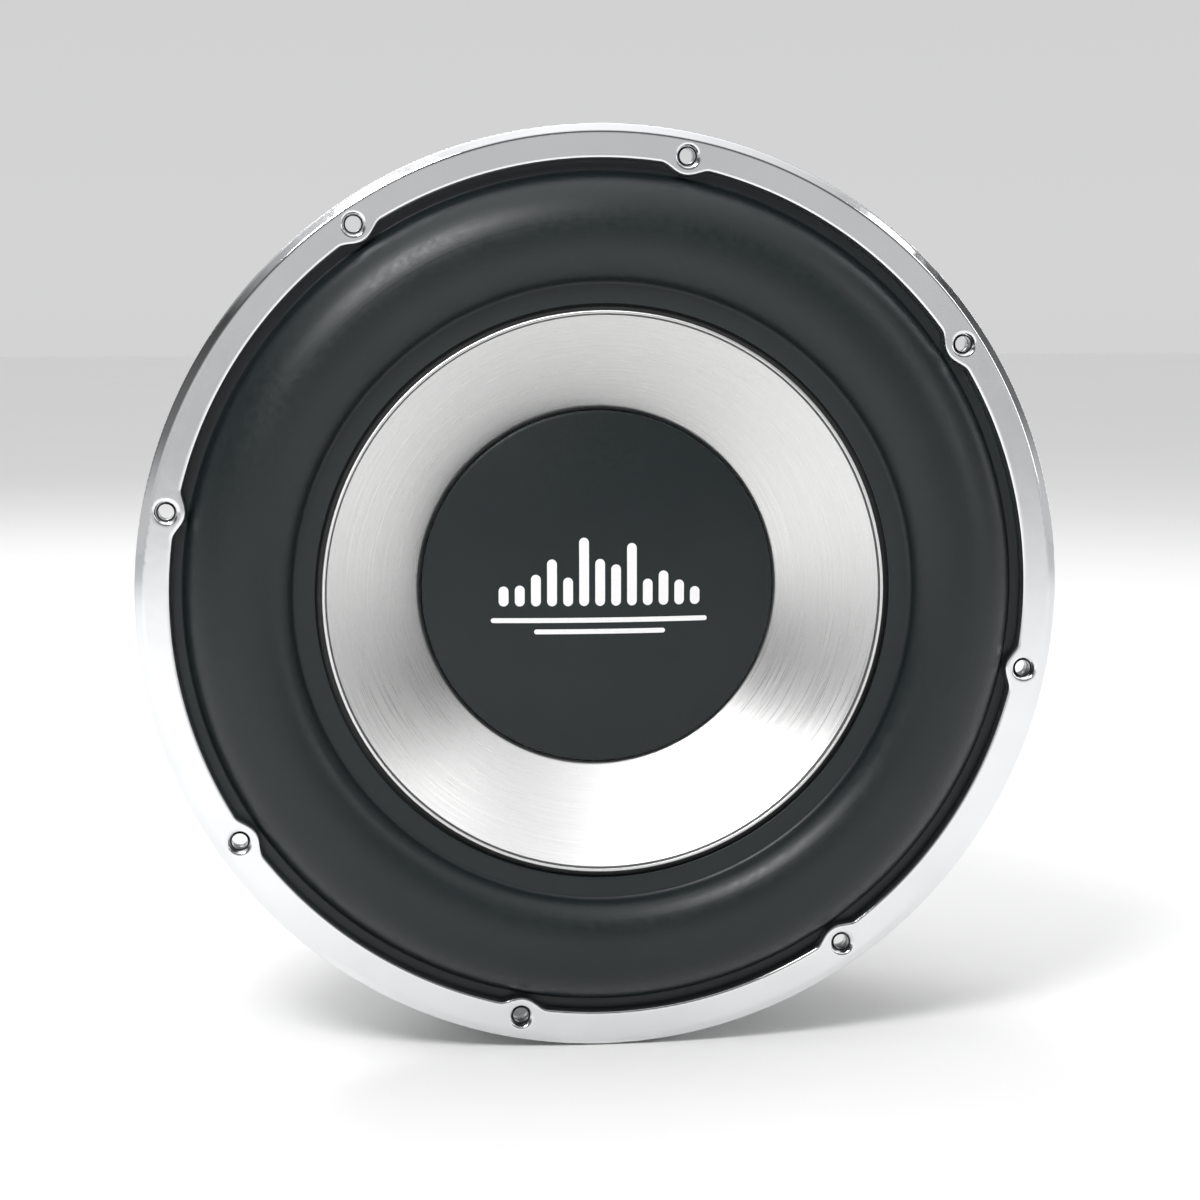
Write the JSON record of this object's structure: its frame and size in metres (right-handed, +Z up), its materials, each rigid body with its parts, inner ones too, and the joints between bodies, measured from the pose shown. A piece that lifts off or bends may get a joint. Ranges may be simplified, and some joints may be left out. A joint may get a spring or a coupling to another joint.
{
  "type": "car subwoofer speaker",
  "caption": "Car subwoofer driver: chrome cast basket with arched windows, rubber half-roll surround, dished brushed aluminium cone and black dust cap.",
  "frame": {"origin": "centre of the flange's rear mounting face, on the driver's axis", "axes": "+Y along the driver's axis towards the rear plate, so the cone faces -Y; +Z up"},
  "size_m": [0.32, 0.1875, 0.32],
  "materials": {
    "chrome": "polished",
    "plated_casting": "polished",
    "brushed_aluminium": "brushed round the axis",
    "surround_rubber": "smooth satin butyl",
    "cone_pulp": "matt pressed pulp",
    "cap_plastic": "satin",
    "ferrite": "matt sintered",
    "plated_steel": "zinc plated",
    "copper": "enamelled wire and braid",
    "spider_cloth": "resin-set woven cloth",
    "former_film": "heat-proof film",
    "label_film": "satin printed film",
    "terminal_plastic": "moulded",
    "brass": "plain",
    "fibre_ring": "pressed fibre"
  },
  "bodies": {
    "frame": {"basket": "plated_casting", "trim_ring": "plated_casting", "surround": "surround_rubber", "spider": "spider_cloth", "spider_clamp_ring": "fibre_ring", "top_plate": "plated_steel", "front_magnet": "ferrite", "rear_magnet": "ferrite", "back_plate_and_pole": "plated_steel", "shorting_ring": "brushed_aluminium", "vent_bezel": "chrome", "rear_label_ring": "label_film", "motor_screw_1": "chrome", "motor_screw_2": "chrome", "motor_screw_3": "chrome", "motor_screw_4": "chrome", "motor_screw_5": "chrome", "motor_screw_6": "chrome", "terminal_block_positive": "terminal_plastic", "terminal_spring_positive": "plated_steel", "solder_tag_positive": "brass", "tinsel_lead_positive": "copper", "terminal_block_negative": "terminal_plastic", "terminal_spring_negative": "plated_steel", "solder_tag_negative": "brass", "tinsel_lead_negative": "copper"},
    "moving_assembly": {"cone_body": "cone_pulp", "cone_face": "brushed_aluminium", "dust_cap": "cap_plastic", "voice_coil_former": "former_film", "voice_coil_winding": "copper"},
    "positive_button": {"terminal_button_positive": "chrome"},
    "negative_button": {"terminal_button_negative": "chrome"}
  },
  "joints": [
    {"name": "cone_travel", "type": "slide", "parent": "frame", "child": "moving_assembly", "axis": [0, -1, 0], "range_m": [-0.012, 0.012], "stiffness_N_per_m": 5200, "deforming": ["surround", "spider", "tinsel_lead_positive", "tinsel_lead_negative"]},
    {"name": "positive_button_press", "type": "slide", "parent": "frame", "child": "positive_button", "axis": [0.6884, 0, -0.7254], "range_m": [0, 0.003], "stiffness_N_per_m": 900, "springref_m": -0.001, "deforming": ["terminal_spring_positive"]},
    {"name": "negative_button_press", "type": "slide", "parent": "frame", "child": "negative_button", "axis": [0.91, 0, 0.4147], "range_m": [0, 0.003], "stiffness_N_per_m": 900, "springref_m": -0.001, "deforming": ["terminal_spring_negative"]}
  ]
}
